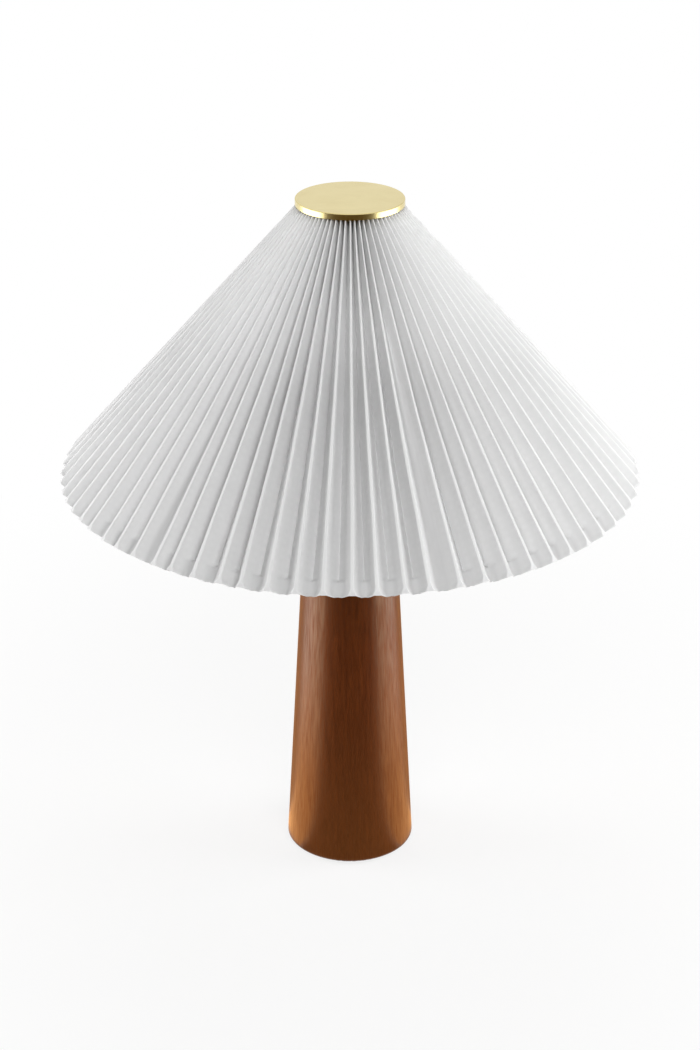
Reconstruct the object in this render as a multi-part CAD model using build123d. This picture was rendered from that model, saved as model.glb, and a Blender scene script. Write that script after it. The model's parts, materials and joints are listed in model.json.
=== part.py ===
from build123d import *
from math import atan2, cos, hypot, pi, sin, sqrt, tan
import os

# Table lamp: a slender turned wooden base carries a lampholder and a wire harp, and the harp
# carries a wide cone shade of accordion pleats under a flat round brass cap.
# Millimetres. Z is up along the lamp's axis, with the table at 0. The front looks to -Y, and the
# cord leaves at the back, to +Y.

# Foot: soft pad, cover plate and the screws that hold the plate
pad_inset = 3.6
pad_thickness = 2.0
pad_edge = 0.6
cover_inset = 6.6
cover_thickness = 1.5
cover_fit = 0.25
cover_screw_count = 3
cover_screw_inset = 3.5
cover_screw_radius = 1.5
cover_screw_length = 14.0
cover_screw_point = 3.0
cover_screw_fit = 0.1

# Turned wooden body
body_length = 308.0
body_foot_radius = 46.6
body_top_radius = 29.9
body_foot_round = 2.0
body_top_round = 1.5

# Ballast in the foot, with room for the cord under it
weight_inset = 8.0
weight_height = 20.0
weight_edge = 1.0
weight_fit = 0.5
cord_room = 14.0

# Cord bushing in the back of the foot
bushing_radius = 5.5
bushing_bore_radius = 3.5
bushing_flange_radius = 7.0
bushing_flange = 2.0
bushing_mouth_round = 1.0
bushing_sink = 1.5
bushing_reach = 1.0
bushing_fit = 0.1

# Hollow threaded rod that ties weight, body, neck cap and saddle together
rod_radius = 5.0
rod_bore_radius = 3.5
rod_fit = 0.3
rod_past_nut = 2.0
thread_fit = 0.05
washer_radius = 11.0
washer_thickness = 1.6
nut_flats = 16.0
nut_thickness = 5.0
nut_chamfer = 0.8

# Neck cap on the body, harp saddle on the neck cap
neck_radius = 22.0
neck_height = 3.0
neck_rim = 1.2
neck_land_radius = 12.0
saddle_thickness = 1.6
saddle_width = 14.0
saddle_flat = 16.0
saddle_bend = 3.0
saddle_rise = 17.0
saddle_post_width = 4.0
saddle_post_height = 10.0

# Harp: one bent wire with a flattened crown, and the sleeves that lock its legs on the saddle
harp_height = 169.0
harp_wire_radius = 2.25
harp_leg_offset = 30.0
harp_lap_gap = 0.2
harp_leg_straight = 38.0
harp_bow_offset = 48.0
harp_bow_start = 66.0
harp_bow_end = 102.0
harp_shoulder_offset = 28.0
harp_bend_low = 36.0
harp_bend_high = 60.0
harp_bend_shoulder = 18.0
crown_length = 20.0
crown_width = 11.0
crown_thickness = 3.4
ferrule_height = 12.0
ferrule_wall = 1.0
ferrule_lip = 2.0
ferrule_fit = 0.15
ferrule_seat_gap = 0.3

# Swivel stud on the crown of the harp
stud_radius = 3.175
stud_shank_radius = 2.6
stud_fit = 0.06
stud_collar_radius = 5.0
stud_collar_height = 3.0
stud_head_radius = 4.2
stud_head_height = 1.5
stud_end_gap = 0.5

# Brass cap: a disc with a short skirt and a threaded boss
cap_radius = 37.0
cap_height = 4.2
cap_plate = 1.5
cap_skirt_wall = 1.2
cap_edge_round = 0.6
boss_radius = 6.0
boss_length = 8.0
boss_edge = 0.6

# Pleated shade. Ridges and valleys are straight folds, and the depths are square to the cone
pleat_count = 72
pleat_stretches = 3
shade_top_radius = 32.9
shade_rim_radius = 203.0
shade_drop = 194.0
shade_cap_gap = 0.3
shade_thickness = 0.4
pleat_depth_top = 9.9
pleat_depth_rim = 7.2
ridge_flat_top = 1.1
ridge_flat_rim = 3.0
valley_flat_top = 0.6
valley_flat_rim = 0.8

# Wire frame of the shade
frame_wire_radius = 1.5
frame_gap = 0.2
top_ring_inset = 3.0
bottom_ring_inset = 8.0
strut_count = 6
strut_first_fold = 3
hub_radius = 9.5
hub_thickness = 1.5
hub_fit = 0.3
arm_count = 3
arm_radius = 1.3

# Lampholder
socket_hub_radius = 9.0
socket_hub_height = 6.0
socket_dome_height = 8.0
socket_cap_lap = 9.0
socket_cap_wall = 0.8
socket_bend = 3.0
socket_shell_radius = 16.0
socket_shell_past_base = 3.7
socket_shell_wall = 0.6
socket_bead = 0.9
socket_fit = 0.2
liner_wall = 0.6
liner_short = 2.0
socket_body_above = 6.0
socket_body_edge = 1.0
thread_shell_radius = 13.7
thread_shell_wall = 0.4
thread_shell_length = 24.0
thread_shell_eye = 6.5
contact_width = 5.0
contact_thickness = 0.5
contact_foot = 4.5
contact_rise = 2.6
contact_bend = 0.8
terminal_flat = 2.8
terminal_head_radius = 3.0
terminal_head_height = 1.6
terminal_shank_radius = 1.5
terminal_shank_length = 5.0
terminal_drop = 14.0
terminal_fit = 0.1

# Turn switch in the side of the lampholder
switch_rise = 5.0
switch_shaft_radius = 2.0
switch_shaft_depth = 8.0
switch_shaft_fit = 0.05
switch_hole_radius = 3.2
knob_radius = 6.5
knob_length = 13.0
knob_stand_off = 4.0
knob_bore_depth = 9.0
knob_edge = 1.2
knob_flute_count = 16
knob_flute_radius = 0.7

# Bulb with a screw base
bulb_head_room = 9.2
bulb_radius = 30.0
bulb_seat_gap = 0.2
bulb_wall = 1.5
bulb_waist_radius = 26.0
bulb_neck_radius = 14.2
bulb_contact_radius = 4.6
bulb_contact_height = 1.8
bulb_insulator_radius = 11.0
bulb_insulator_height = 3.2
bulb_base_radius = 12.9
bulb_base_height = 18.0
bulb_base_edge = 0.8

# Heights of the stack, from the table up
body_bottom = pad_thickness
body_top = body_bottom + body_length
cover_top = body_bottom + cover_thickness
weight_bottom = cover_top + cord_room
weight_top = weight_bottom + weight_height
cord_height = cover_top + cord_room / 2
nut_bottom = weight_bottom - washer_thickness - nut_thickness
rod_bottom = nut_bottom - rod_past_nut
saddle_bottom = body_top + neck_height
saddle_top = saddle_bottom + saddle_thickness
post_bottom = saddle_bottom + saddle_rise
post_top = post_bottom + saddle_post_height
socket_bottom = saddle_top + nut_thickness
socket_seat = socket_bottom + socket_hub_height + socket_dome_height
socket_shell_bottom = socket_seat + socket_bend
socket_cap_rim = socket_shell_bottom + socket_cap_lap
switch_height = socket_cap_rim + switch_rise
socket_body_top = switch_height + socket_body_above
rod_top = socket_bottom + socket_hub_height
crown_top = saddle_bottom + harp_height
crown_bottom = crown_top - crown_thickness
stud_bottom = crown_bottom - stud_head_height
hub_bottom = crown_top + stud_collar_height
hub_top = hub_bottom + hub_thickness
cap_under = hub_top + boss_length
cap_top = cap_under + cap_plate
shade_top = cap_under - shade_cap_gap
bulb_bottom = socket_body_top + contact_rise + contact_thickness + bulb_seat_gap
bulb_base_bottom = bulb_bottom + bulb_contact_height + bulb_insulator_height
bulb_base_top = bulb_base_bottom + bulb_base_height
bulb_length = stud_bottom - bulb_head_room - bulb_bottom
bulb_centre = bulb_bottom + bulb_length - bulb_radius
bulb_waist = bulb_centre - sqrt(bulb_radius**2 - bulb_waist_radius**2)
socket_shell_top = bulb_base_top + socket_shell_past_base

# Sizes that follow from the ones above
pad_radius = body_foot_radius - pad_inset
cover_radius = body_foot_radius - cover_inset
cover_screw_circle = cover_radius - cover_screw_inset
weight_radius = cover_radius - weight_inset
recess_radius = weight_radius + weight_fit
ferrule_reach = hypot(harp_lap_gap + saddle_thickness, saddle_post_width / 2)
ferrule_bore_radius = max(ferrule_reach, harp_wire_radius) + ferrule_fit
ferrule_radius = ferrule_bore_radius + ferrule_wall
ferrule_bottom = post_bottom + ferrule_seat_gap
ferrule_top = ferrule_bottom + ferrule_height
liner_radius = socket_shell_radius - socket_shell_wall - socket_fit
socket_body_radius = liner_radius - liner_wall - socket_fit

# Slant of the shade's cone: unit vectors down the slope and square to it, as (radial, upward)
shade_slant = hypot(shade_rim_radius - shade_top_radius, shade_drop)
slope_out = (shade_rim_radius - shade_top_radius) / shade_slant
slope_down = shade_drop / shade_slant
normal_out = slope_down
normal_up = slope_out
shade_rim = shade_top - shade_drop
pleat_step = 2 * pi / pleat_count
front_azimuth = -pi / 2


def turned(*outline):
    """Solid turned about the lamp's axis from a closed outline of (radius, height) points."""
    return revolve(Plane.XZ * make_face(Polyline(*outline, close=True)), Axis.Z)


def turned_face(*lines):
    """Solid turned about the lamp's axis from a closed outline of joined lines and curves."""
    return revolve(Plane.XZ * make_face(Curve() + list(lines)), Axis.Z)


def tube(outer, inner, bottom, top):
    """Round tube about the lamp's axis between two heights."""
    return turned((inner, bottom), (outer, bottom), (outer, top), (inner, top))


def disc(radius, bottom, top):
    """Round disc about the lamp's axis between two heights."""
    standing = (Align.CENTER, Align.CENTER, Align.MIN)
    return Pos(0, 0, bottom) * Cylinder(radius, top - bottom, align=standing)


def bar(start, end, radius):
    """Round bar from one point to another."""
    axis = Vector(*end) - Vector(*start)
    return Solid.make_cylinder(radius, axis.length, Plane(origin=start, z_dir=axis))


def polar(radius, azimuth, height):
    """Point at a radius, an azimuth in radians and a height."""
    return (radius * cos(azimuth), radius * sin(azimuth), height)


def bent_strip(points, bend, thickness, width):
    """Sheet strip bent along points in the XZ plane, with its thickness to the left of the path."""
    path = FilletPolyline(*points, radius=bend)
    face = Plane.XZ * make_face(path.wire().offset_2d(thickness, side=Side.LEFT))
    return extrude(face, amount=width / 2, both=True)


def hex_nut(flats, thickness, bore, bottom):
    """Hexagon nut with both faces chamfered round, lying on a height."""
    prism = extrude(RegularPolygon(flats / 2, 6, major_radius=False), amount=thickness)
    corner = flats / sqrt(3)
    dressed = turned(
        (0, 0),
        (corner - nut_chamfer, 0),
        (corner, nut_chamfer),
        (corner, thickness - nut_chamfer),
        (corner - nut_chamfer, thickness),
        (0, thickness),
    )
    return Pos(0, 0, bottom) * ((prism & dressed) - Cylinder(bore, 4 * thickness))


def body_radius_at(height):
    """Outside radius of the tapered body at a height."""
    share = (height - body_bottom) / body_length
    return body_foot_radius + (body_top_radius - body_foot_radius) * share


# Foot

def foot_pad():
    """Soft pad that the lamp stands on, with its lower edge broken."""
    pad = disc(pad_radius, 0, pad_thickness)
    return chamfer(pad.edges().group_by(Axis.Z)[0], pad_edge)


def cover_screw_places():
    """Places of the cover screws, evenly round the foot, the first to the front."""
    return [Rot(0, 0, 360 * i / cover_screw_count - 90) * Pos(cover_screw_circle, 0, 0)
            for i in range(cover_screw_count)]


def screw_outline(fit):
    """Countersunk wood screw, point up, as deep in the head as the cover is thick."""
    shank = cover_screw_radius + fit
    tip = body_bottom + cover_screw_length + fit
    return turned(
        (0, body_bottom),
        (shank + cover_thickness, body_bottom),
        (shank, cover_top),
        (shank, tip - cover_screw_point),
        (0, tip),
    )


def base_cover():
    """Thin round plate that closes the foot, countersunk for its screws."""
    plate = disc(cover_radius, body_bottom, cover_top)
    return plate - [place * screw_outline(cover_screw_fit) for place in cover_screw_places()]


def cover_screws():
    """The cover's screws, as separate solids."""
    return Compound(children=[place * screw_outline(0) for place in cover_screw_places()])


def base_weight():
    """Cast ballast ring in the recess of the foot, its edges broken."""
    ring = tube(weight_radius, rod_radius + rod_fit, weight_bottom, weight_top)
    rims = ring.edges().filter_by(GeomType.CIRCLE).filter_by(lambda e: e.radius == weight_radius)
    return chamfer(rims, weight_edge)


def wooden_body():
    """Tapered turning with a rebated recess in the foot, a long bore and the cord's side hole."""
    bore = rod_radius + rod_fit
    rebate = cover_radius + cover_fit
    body = turned(
        (rebate, body_bottom),
        (body_foot_radius, body_bottom),
        (body_top_radius, body_top),
        (bore, body_top),
        (bore, weight_top),
        (recess_radius, weight_top),
        (recess_radius, cover_top),
        (rebate, cover_top),
    )
    circles = body.edges().filter_by(GeomType.CIRCLE)
    body = fillet(circles.filter_by(lambda e: abs(e.radius - body_foot_radius) < 1e-6), body_foot_round)
    circles = body.edges().filter_by(GeomType.CIRCLE)
    body = fillet(circles.filter_by(lambda e: abs(e.radius - body_top_radius) < 1e-6), body_top_round)
    body -= bushing_place() * disc(bushing_radius + bushing_fit, -body_foot_radius, body_foot_radius)
    body -= bushing_place() * disc(bushing_flange_radius + bushing_fit, 0, body_foot_radius)
    return body - [place * screw_outline(cover_screw_fit) for place in cover_screw_places()]


def bushing_place():
    """Seat of the bushing's flange in the back of the foot, with its own Z pointing out to +Y."""
    return Pos(0, body_radius_at(cord_height) - bushing_sink, cord_height) * Rot(-90, 0, 0)


def cord_bushing():
    """Flanged sleeve that lines the cord's hole, its mouth rounded."""
    inner_end = recess_radius - bushing_reach - body_radius_at(cord_height) + bushing_sink
    sleeve = turned(
        (bushing_bore_radius, inner_end),
        (bushing_radius, inner_end),
        (bushing_radius, 0),
        (bushing_flange_radius, 0),
        (bushing_flange_radius, bushing_flange),
        (bushing_bore_radius, bushing_flange),
    )
    return bushing_place() * fillet(sleeve.edges().group_by(Axis.Z)[-1], bushing_mouth_round)


# Rod and neck

def lamp_rod():
    """Hollow rod from under the ballast up into the lampholder."""
    return tube(rod_radius, rod_bore_radius, rod_bottom, rod_top)


def rod_washer():
    """Washer between the ballast and the rod's lower nut."""
    return tube(washer_radius, rod_radius + rod_fit, weight_bottom - washer_thickness, weight_bottom)


def rod_nut():
    """Nut at the rod's lower end."""
    return hex_nut(nut_flats, nut_thickness, rod_radius + thread_fit, nut_bottom)


def saddle_nut():
    """Nut that clamps the saddle and the neck cap on the body."""
    return hex_nut(nut_flats, nut_thickness, rod_radius + thread_fit, saddle_top)


def neck_cap():
    """Shallow turned disc with a rolled rim, on the top of the body."""
    bore = rod_radius + rod_fit
    return turned_face(
        Polyline((bore, body_top), (neck_radius - neck_rim, body_top)),
        ThreePointArc(
            (neck_radius - neck_rim, body_top),
            (neck_radius, body_top + neck_rim),
            (neck_radius - neck_rim, body_top + 2 * neck_rim),
        ),
        Polyline(
            (neck_radius - neck_rim, body_top + 2 * neck_rim),
            (neck_land_radius, saddle_bottom),
            (bore, saddle_bottom),
            (bore, body_top),
        ),
    )


# Harp

def harp_saddle():
    """Strip under the lampholder, bent up at both ends into posts for the harp's legs."""
    post = harp_leg_offset - harp_lap_gap - saddle_thickness
    points = [
        (-post, post_top),
        (-post, post_bottom),
        (-saddle_flat, saddle_top),
        (saddle_flat, saddle_top),
        (post, post_bottom),
        (post, post_top),
    ]
    strip = bent_strip(points[::-1], saddle_bend, saddle_thickness, saddle_width)
    post_outer = post + saddle_thickness
    right = [
        (saddle_flat, -saddle_width / 2),
        (post - saddle_thickness, -saddle_post_width / 2),
        (post_outer, -saddle_post_width / 2),
        (post_outer, saddle_post_width / 2),
        (post - saddle_thickness, saddle_post_width / 2),
        (saddle_flat, saddle_width / 2),
    ]
    left = [(-x, -y) for x, y in right]
    blank = extrude(make_face(Polyline(*right, *left, close=True)), amount=2 * post_top)
    return (strip & blank) - disc(rod_radius + rod_fit, 0, post_top)


def harp_leg():
    """Right half of the harp's wire, from its foot beside the post up to the crown."""
    crown_height = crown_top - crown_thickness / 2
    path = FilletPolyline(
        (harp_leg_offset, 0, ferrule_bottom),
        (harp_leg_offset, 0, post_bottom + harp_leg_straight),
        (harp_bow_offset, 0, post_bottom + harp_bow_start),
        (harp_bow_offset, 0, post_bottom + harp_bow_end),
        (harp_shoulder_offset, 0, crown_height),
        (crown_length / 2 - crown_thickness, 0, crown_height),
        radius=[harp_bend_low, harp_bend_low, harp_bend_high, harp_bend_shoulder],
    )
    wire = sweep(Pos(harp_leg_offset, 0, ferrule_bottom) * Circle(harp_wire_radius), path)
    lap = Box(
        harp_leg_offset,
        4 * harp_wire_radius,
        post_top,
        align=(Align.MIN, Align.CENTER, Align.MIN),
    )
    return wire - lap


def harp():
    """Harp: two bent legs joined by a flattened crown with the stud's hole."""
    crown = extrude(SlotOverall(crown_length, crown_width), amount=crown_thickness)
    leg = harp_leg()
    whole = Pos(0, 0, crown_top - crown_thickness) * crown + leg + mirror(leg, Plane.YZ)
    return whole - disc(stud_shank_radius + stud_fit, 0, cap_top)


def harp_ferrule(side):
    """Sleeve that slides on a leg of the harp and locks it to the saddle's post."""
    sleeve = turned(
        (ferrule_bore_radius, ferrule_bottom),
        (ferrule_radius, ferrule_bottom),
        (ferrule_radius, ferrule_top),
        (harp_wire_radius + ferrule_fit, ferrule_top),
        (harp_wire_radius + ferrule_fit, ferrule_top - ferrule_lip),
        (ferrule_bore_radius, ferrule_top - ferrule_lip),
    )
    return Pos(side * harp_leg_offset, 0, 0) * sleeve


def finial_stud():
    """Stud riveted through the crown so that it can swivel, with a collar under the shade."""
    return turned(
        (0, stud_bottom),
        (stud_head_radius, stud_bottom),
        (stud_head_radius, crown_bottom),
        (stud_shank_radius, crown_bottom),
        (stud_shank_radius, crown_top),
        (stud_collar_radius, crown_top),
        (stud_collar_radius, hub_bottom),
        (stud_radius, hub_bottom),
        (stud_radius, cap_under - stud_end_gap),
        (0, cap_under - stud_end_gap),
    )


# Cap

def brass_cap():
    """Flat disc with a short skirt, its outer edge slightly rounded."""
    skirt_bottom = cap_top - cap_height
    inner = cap_radius - cap_skirt_wall
    cap = turned(
        (0, cap_under),
        (inner, cap_under),
        (inner, skirt_bottom),
        (cap_radius, skirt_bottom),
        (cap_radius, cap_top),
        (0, cap_top),
    )
    return fillet(cap.edges().group_by(Axis.Z)[-1], cap_edge_round)


def cap_boss():
    """Threaded boss under the cap that screws on the stud and clamps the shade's hub."""
    boss = tube(boss_radius, stud_radius + thread_fit, hub_top, cap_under)
    rim = boss.edges().group_by(Axis.Z)[0].sort_by(SortBy.RADIUS)[-1]
    return chamfer(rim, boss_edge)


# Pleated shade

def between(top, rim, share):
    """Value at a share of the way from the top of the shade down to its rim."""
    return top + (rim - top) * share


def fold_ring(share, side):
    """Corners of the zigzag across all the folds, at a share of the way down the slope.

    The folds are drawn square to the cone, from ridges on the cone in to valleys. Each ridge and
    valley has a narrow flat, so a fold has four corners. side is +1 for the outer skin and -1 for
    the inner one, each half the cover's thickness from its middle, with mitred corners.
    """
    radius = between(shade_top_radius, shade_rim_radius, share)
    depth = between(pleat_depth_top, pleat_depth_rim, share)
    ridge_flat = between(ridge_flat_top, ridge_flat_rim, share)
    valley_flat = between(valley_flat_top, valley_flat_rim, share)
    valley_radius = radius - depth * normal_out
    pitch = pleat_step * (radius + valley_radius) / 2
    run = (pitch - ridge_flat - valley_flat) / 2
    shift = side * shade_thickness / 2
    mitre = shift * tan(atan2(depth, run) / 2)
    ridge_turn = (ridge_flat / 2 + mitre) / radius
    valley_turn = (valley_flat / 2 - mitre) / valley_radius
    corners = []
    for fold in range(pleat_count):
        ridge = front_azimuth + fold * pleat_step
        valley = ridge + pleat_step / 2
        for azimuth, out in (
            (ridge - ridge_turn, shift),
            (ridge + ridge_turn, shift),
            (valley - valley_turn, shift - depth),
            (valley + valley_turn, shift - depth),
        ):
            height = between(shade_top, shade_rim, share) + out * normal_up
            corners.append(polar(radius + out * normal_out, azimuth, height))
    return corners


def flat_face(*corners):
    """Plane face over its corners."""
    return Face(Wire.make_polygon(corners, close=True))


def fold_faces(upper, lower):
    """Faces between two zigzag rings.

    The flats of ridges and valleys are plane. The panels between them twist as they close up to
    the top, so each is creased from its upper ridge corner to its lower valley corner.
    """
    faces = []
    for i, (a, b) in enumerate(zip(upper, lower)):
        c, d = lower[(i + 1) % len(lower)], upper[(i + 1) % len(upper)]
        if i % 4 == 1:
            faces += [flat_face(a, b, c), flat_face(a, c, d)]
        elif i % 4 == 3:
            faces += [flat_face(a, b, d), flat_face(b, c, d)]
        else:
            faces.append(flat_face(a, b, c, d))
    return faces


def pleated_shade():
    """Cover folded into accordion pleats: an outer and an inner skin, closed at the top and the rim."""
    shares = [i / pleat_stretches for i in range(pleat_stretches + 1)]
    outer = [fold_ring(share, 1) for share in shares]
    inner = [fold_ring(share, -1) for share in shares]
    bands = list(zip(outer, outer[1:])) + list(zip(inner, inner[1:]))
    bands += [(inner[0], outer[0]), (outer[-1], inner[-1])]
    return Solid(Shell([face for band in bands for face in fold_faces(*band)]))


# Wire frame of the shade

def frame_point(radius, height, depth, inset):
    """Centre of the frame's wire, as (radius, height), just inside the valleys, inset down the slope."""
    inward = depth + shade_thickness / 2 + frame_gap + frame_wire_radius
    out = radius - inward * normal_out + inset * slope_out
    return (out, height - inward * normal_up - inset * slope_down)


def top_ring_point():
    """Centre of the upper ring's wire, as (radius, height)."""
    return frame_point(shade_top_radius, shade_top, pleat_depth_top, top_ring_inset)


def bottom_ring_point():
    """Centre of the lower ring's wire, as (radius, height)."""
    return frame_point(shade_rim_radius, shade_rim, pleat_depth_rim, -bottom_ring_inset)


def wire_ring(radius, height):
    """Closed ring of the frame's wire."""
    return Pos(0, 0, height) * Torus(radius, frame_wire_radius)


def shade_struts():
    """Straight wires between the two rings, each behind a valley and coped to the rings."""
    ring_points = [top_ring_point(), bottom_ring_point()]
    rings = [wire_ring(*point) for point in ring_points]
    struts = []
    for i in range(strut_count):
        fold = strut_first_fold + i * pleat_count // strut_count + 0.5
        azimuth = front_azimuth + fold * pleat_step
        ends = [polar(radius, azimuth, height) for radius, height in ring_points]
        struts.append((bar(*ends, frame_wire_radius) - rings).solid())
    return Compound(children=struts)


def shade_spider():
    """Hub washer on the stud with arms out to the upper ring."""
    ring_radius, ring_height = top_ring_point()
    hub_middle = (hub_bottom + hub_top) / 2
    spider = disc(hub_radius, hub_bottom, hub_top)
    for i in range(arm_count):
        azimuth = front_azimuth + 2 * pi * i / arm_count
        start = polar(hub_radius - arm_radius, azimuth, hub_middle)
        spider += bar(start, polar(ring_radius, azimuth, ring_height), arm_radius)
    spider -= wire_ring(ring_radius, ring_height)
    return spider - disc(stud_radius + hub_fit, crown_top, cap_top)


# Lampholder

def socket_cap():
    """Spun cup on a threaded hub, at the foot of the lampholder."""
    inner = socket_shell_radius + socket_fit
    hub_inner = socket_hub_radius - socket_cap_wall
    path = FilletPolyline(
        (hub_inner, socket_bottom),
        (hub_inner, rod_top),
        (inner, socket_seat),
        (inner, socket_cap_rim),
        radius=socket_bend,
    )
    wall = make_face(path.wire().offset_2d(socket_cap_wall, side=Side.RIGHT))
    cup = revolve(Plane.XZ * wall, Axis.Z)
    return cup + tube(hub_inner, rod_radius + thread_fit, socket_bottom, rod_top)


def switch_place():
    """Axis of the switch, from the lamp's axis out to the front, as its own Z."""
    return Pos(0, 0, switch_height) * Rot(90, 0, 0)


def socket_shell():
    """Outer shell of the lampholder, rolled out at its mouth, with the switch's hole."""
    bottom = socket_shell_bottom
    top = socket_shell_top
    inner = socket_shell_radius - socket_shell_wall
    shell = turned_face(
        Polyline(
            (inner, top),
            (inner, bottom),
            (socket_shell_radius, bottom),
            (socket_shell_radius, top - 2 * socket_bead),
        ),
        ThreePointArc(
            (socket_shell_radius, top - 2 * socket_bead),
            (socket_shell_radius + socket_bead, top - socket_bead),
            (socket_shell_radius, top),
        ),
        Line((socket_shell_radius, top), (inner, top)),
    )
    return shell - switch_place() * disc(switch_hole_radius, 0, 2 * socket_shell_radius)


def socket_liner():
    """Insulating sleeve inside the shell, with the switch's hole."""
    inner = liner_radius - liner_wall
    liner = tube(liner_radius, inner, socket_shell_bottom, socket_shell_top - liner_short)
    return liner - switch_place() * disc(switch_hole_radius, 0, 2 * socket_shell_radius)


def terminal_places():
    """Axes of the two terminal screws, outwards from flats on both sides of the socket's body."""
    height = socket_body_top - terminal_drop
    seat = socket_body_radius - terminal_flat
    return [Pos(side * seat, 0, height) * Rot(0, side * 90, 0) for side in (-1, 1)]


def socket_body():
    """Moulded core of the lampholder, with flats for its terminals and the switch's bore."""
    core = disc(socket_body_radius, socket_shell_bottom, socket_body_top)
    core = chamfer(core.edges().filter_by(GeomType.CIRCLE), socket_body_edge)
    below_rim = disc(2 * socket_body_radius, 0, socket_body_top - terminal_drop / 2)
    outside = (Align.CENTER, Align.CENTER, Align.MIN)
    for place in terminal_places():
        core -= place * Box(socket_body_top, socket_body_top, socket_body_radius, align=outside) & below_rim
        shank = terminal_shank_radius + terminal_fit
        core -= place * disc(shank, -terminal_shank_length - terminal_fit, 0)
    bore = switch_shaft_radius + switch_shaft_fit
    bore_start = socket_body_radius - switch_shaft_depth
    return core - switch_place() * disc(bore, bore_start, 2 * socket_body_radius)


def terminal_screws():
    """The two terminal screws, as separate solids."""
    screw = turned(
        (0, -terminal_shank_length),
        (terminal_shank_radius, -terminal_shank_length),
        (terminal_shank_radius, 0),
        (terminal_head_radius, 0),
        (terminal_head_radius, terminal_head_height),
        (0, terminal_head_height),
    )
    return Compound(children=[place * screw for place in terminal_places()])


def socket_thread_shell():
    """Thin metal cup that takes the bulb's screw base, with an eye for the centre contact."""
    inner = thread_shell_radius - thread_shell_wall
    floor = socket_body_top + thread_shell_wall
    return turned(
        (thread_shell_eye, socket_body_top),
        (thread_shell_radius, socket_body_top),
        (thread_shell_radius, socket_body_top + thread_shell_length),
        (inner, socket_body_top + thread_shell_length),
        (inner, floor),
        (thread_shell_eye, floor),
    )


def socket_contact():
    """Springy tongue in the eye of the thread shell, raised under the bulb's contact."""
    raised = socket_body_top + contact_rise
    points = [
        (contact_foot, raised),
        (contact_bend, raised),
        (-contact_bend, socket_body_top),
        (-contact_foot, socket_body_top),
    ]
    return bent_strip(points[::-1], contact_bend, contact_thickness, contact_width)


def switch_shaft():
    """Round shaft of the turn switch."""
    start = socket_body_radius - switch_shaft_depth
    end = socket_shell_radius + knob_stand_off + knob_bore_depth
    return switch_place() * disc(switch_shaft_radius, start, end)


def switch_knob():
    """Fluted knob on the switch's shaft, with a blind bore."""
    start = socket_shell_radius + knob_stand_off
    knob = disc(knob_radius, start, start + knob_length)
    knob = fillet(knob.edges().group_by(Axis.Z)[-1], knob_edge)
    flute = Pos(knob_radius, 0, 0) * disc(knob_flute_radius, start, start + knob_length)
    knob -= [Rot(0, 0, 360 * i / knob_flute_count) * flute for i in range(knob_flute_count)]
    knob -= disc(switch_shaft_radius + switch_shaft_fit, start, start + knob_bore_depth)
    return switch_place() * knob


# Bulb

def bulb_contact():
    """Rounded contact at the foot of the bulb."""
    top = bulb_bottom + bulb_contact_height
    land = bulb_contact_radius / 2
    return turned((0, bulb_bottom), (land, bulb_bottom), (bulb_contact_radius, top), (0, top))


def bulb_insulator():
    """Glass cone between the contact and the screw base."""
    bottom = bulb_bottom + bulb_contact_height
    top = bulb_base_bottom
    return turned((0, bottom), (bulb_contact_radius, bottom), (bulb_insulator_radius, top), (0, top))


def bulb_screw_base():
    """Metal screw base, its lower edge broken."""
    base = disc(bulb_base_radius, bulb_base_bottom, bulb_base_top)
    return chamfer(base.edges().group_by(Axis.Z)[0], bulb_base_edge)


def bulb_housing():
    """Flared housing between the screw base and the dome, running on into the dome's curve."""
    bottom = bulb_base_top
    lean = (bulb_centre - bulb_waist, bulb_waist_radius)
    return turned_face(
        Polyline((0, bulb_waist), (0, bottom), (bulb_neck_radius, bottom)),
        Spline((bulb_neck_radius, bottom), (bulb_waist_radius, bulb_waist), tangents=((0, 1), lean)),
        Line((bulb_waist_radius, bulb_waist), (0, bulb_waist)),
    )


def bulb_dome():
    """Thin round diffuser, open where it sits on the housing."""
    ball = Pos(0, 0, bulb_centre) * (Sphere(bulb_radius) - Sphere(bulb_radius - bulb_wall))
    return ball - disc(2 * bulb_radius, bulb_centre - 2 * bulb_radius, bulb_waist)


nodes = {
    "foot_pad": foot_pad(),
    "base_cover": base_cover(),
    "cover_screws": cover_screws(),
    "base_weight": base_weight(),
    "wooden_body": wooden_body(),
    "cord_bushing": cord_bushing(),
    "lamp_rod": lamp_rod(),
    "rod_washer": rod_washer(),
    "rod_nut": rod_nut(),
    "neck_cap": neck_cap(),
    "saddle_nut": saddle_nut(),
    "harp_saddle": harp_saddle(),
    "harp": harp(),
    "harp_ferrule_left": harp_ferrule(-1),
    "harp_ferrule_right": harp_ferrule(1),
    "finial_stud": finial_stud(),
    "brass_cap": brass_cap(),
    "cap_boss": cap_boss(),
    "pleated_shade": pleated_shade(),
    "shade_top_ring": wire_ring(*top_ring_point()),
    "shade_bottom_ring": wire_ring(*bottom_ring_point()),
    "shade_struts": shade_struts(),
    "shade_spider": shade_spider(),
    "socket_cap": socket_cap(),
    "socket_shell": socket_shell(),
    "socket_liner": socket_liner(),
    "socket_body": socket_body(),
    "terminal_screws": terminal_screws(),
    "socket_thread_shell": socket_thread_shell(),
    "socket_contact": socket_contact(),
    "switch_shaft": switch_shaft(),
    "switch_knob": switch_knob(),
    "bulb_contact": bulb_contact(),
    "bulb_insulator": bulb_insulator(),
    "bulb_screw_base": bulb_screw_base(),
    "bulb_housing": bulb_housing(),
    "bulb_dome": bulb_dome(),
}

os.makedirs("parts", exist_ok=True)
for name, shape in nodes.items():
    export_step(shape, f"parts/{name}.step")
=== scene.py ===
import json
import math

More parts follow.
